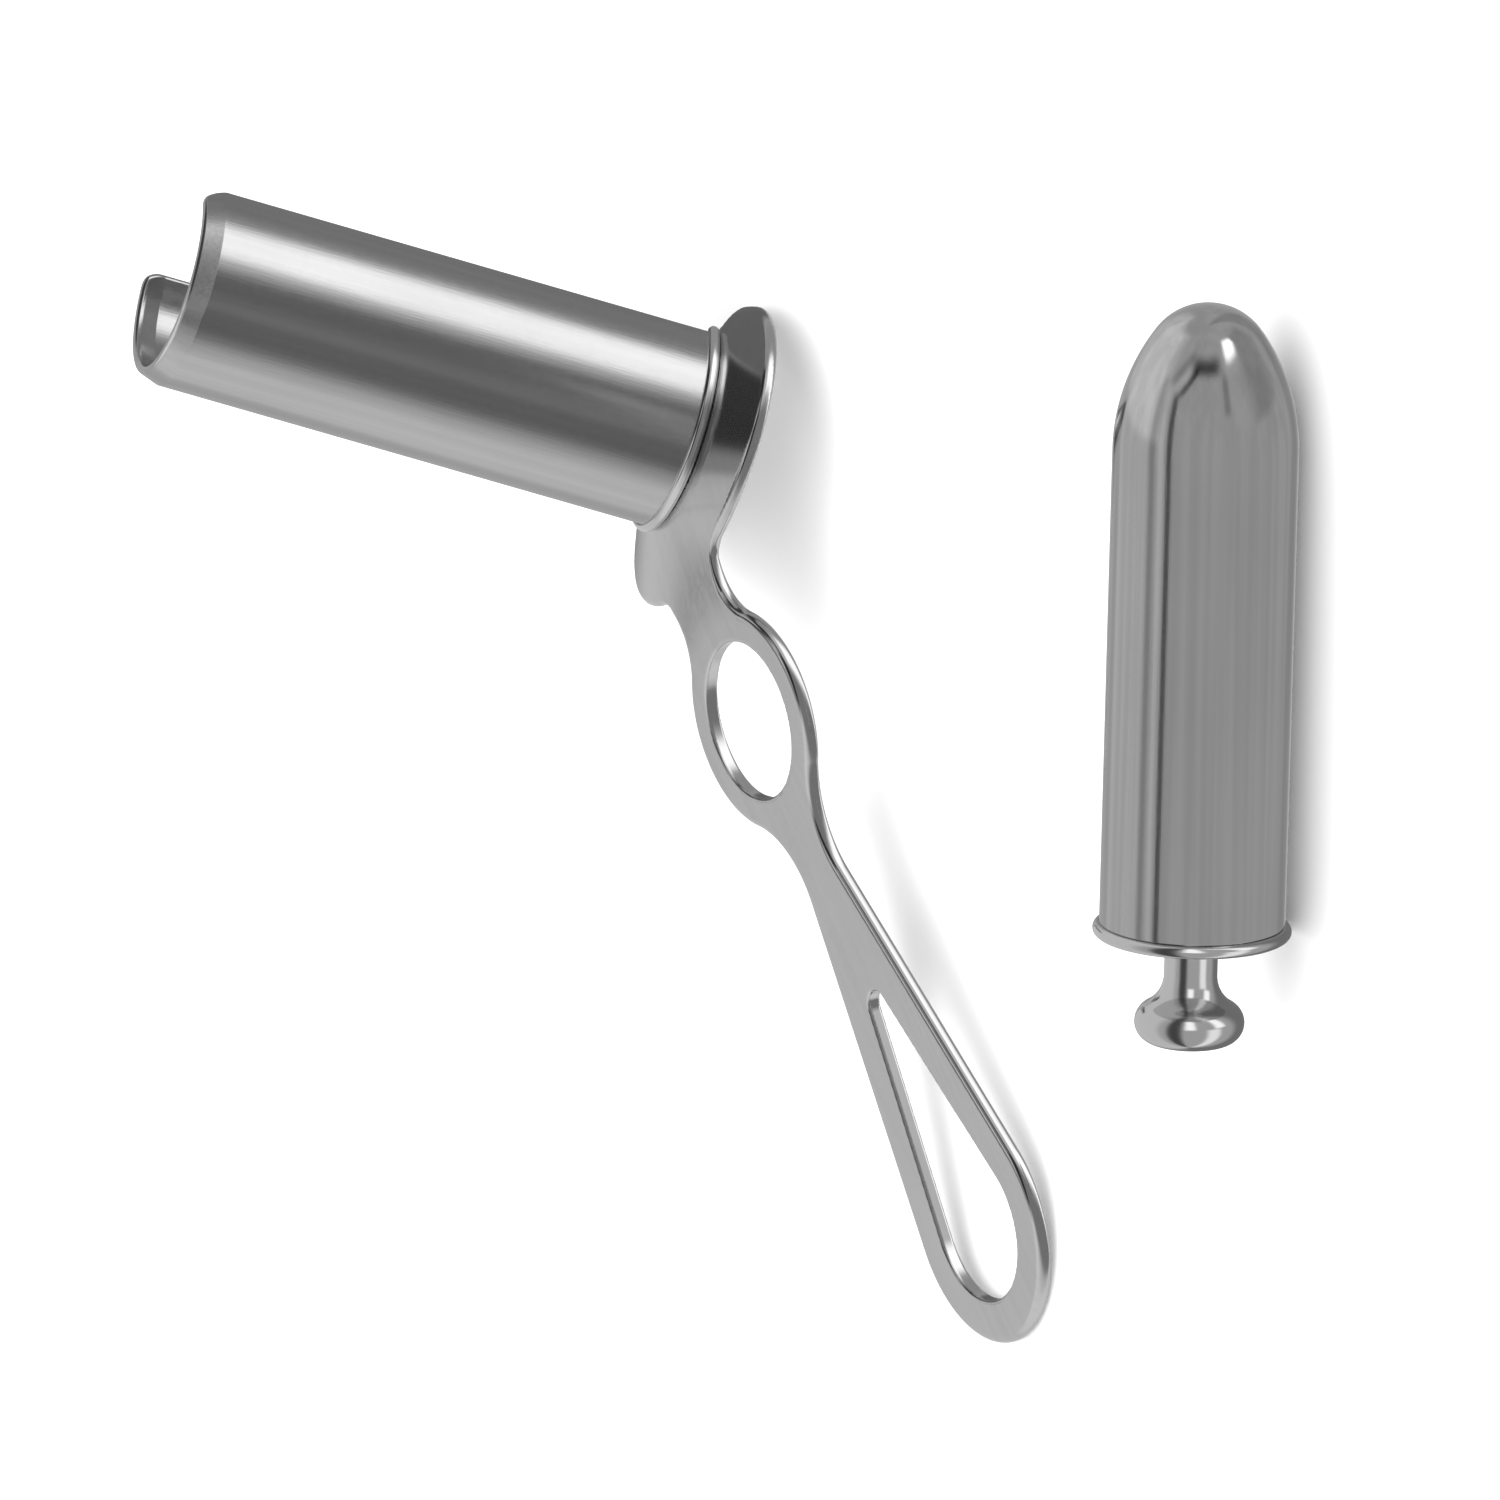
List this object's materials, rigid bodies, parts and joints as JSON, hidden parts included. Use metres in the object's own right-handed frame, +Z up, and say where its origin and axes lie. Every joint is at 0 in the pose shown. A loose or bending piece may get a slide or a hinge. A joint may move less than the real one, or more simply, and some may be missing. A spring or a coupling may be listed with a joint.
{
  "type": "anal speculum",
  "caption": "Slotted tubular speculum with a flared funnel, a bent flat handle with finger ring and teardrop loop, and its domed obturator with a small knob.",
  "frame": {"origin": "bottom centre of the box round the speculum and the obturator as they rest on a table", "axes": "+Z up, +X from the handle's loop towards the tube, +Y from the obturator towards the speculum"},
  "size_m": [0.1744, 0.1814, 0.0829],
  "materials": {
    "tube_steel": "satin",
    "bead_steel": "polished",
    "handle_steel": "satin faces with a polished edge and funnel",
    "obturator_steel": "fine satin",
    "knob_steel": "polished"
  },
  "bodies": {
    "root": {"slotted_tube": "tube_steel", "collar_ring": "bead_steel", "funnel_handle": "handle_steel", "obturator_body": "obturator_steel", "obturator_flange": "knob_steel", "obturator_knob": "knob_steel"}
  },
  "joints": []
}
